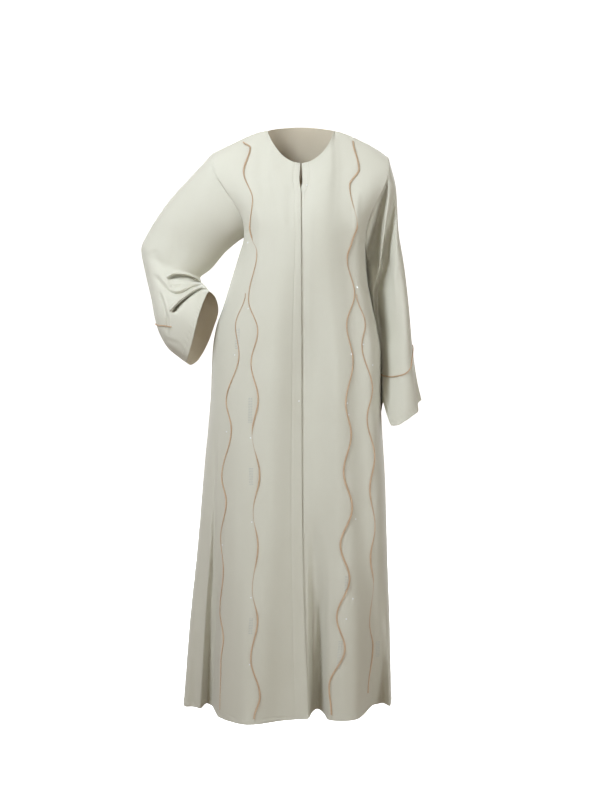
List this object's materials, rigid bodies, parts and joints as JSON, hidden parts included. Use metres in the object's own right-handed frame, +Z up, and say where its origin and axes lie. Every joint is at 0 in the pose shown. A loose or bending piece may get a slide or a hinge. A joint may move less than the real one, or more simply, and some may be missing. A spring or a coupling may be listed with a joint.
{
  "type": "abaya cloak",
  "caption": "Full-length open-front cloak with set-in sleeves, in its worn hollow form, one arm bent to the hip, with waved cords sewn on the fronts and cuffs.",
  "frame": {"origin": "midway between the two side-neck points, at their height, where the wearer's shoulders hold the cloak up", "axes": "+Z up along the body, the front faces -Y, the wearer's left arm is at +X and the bent right arm at -X"},
  "size_m": [0.6455, 0.3808, 1.3472],
  "materials": {
    "cloth": "matte crepe",
    "cord": "copper thread with a soft shine"
  },
  "bodies": {
    "root": {"back": "cloth", "front_right": "cloth", "front_left": "cloth", "sleeve_right": "cloth", "sleeve_left": "cloth", "trim_right_inner": "cord", "trim_right_outer": "cord", "trim_left_inner": "cord", "trim_left_outer": "cord", "cuff_trim_right": "cord", "cuff_trim_left": "cord"}
  },
  "joints": []
}
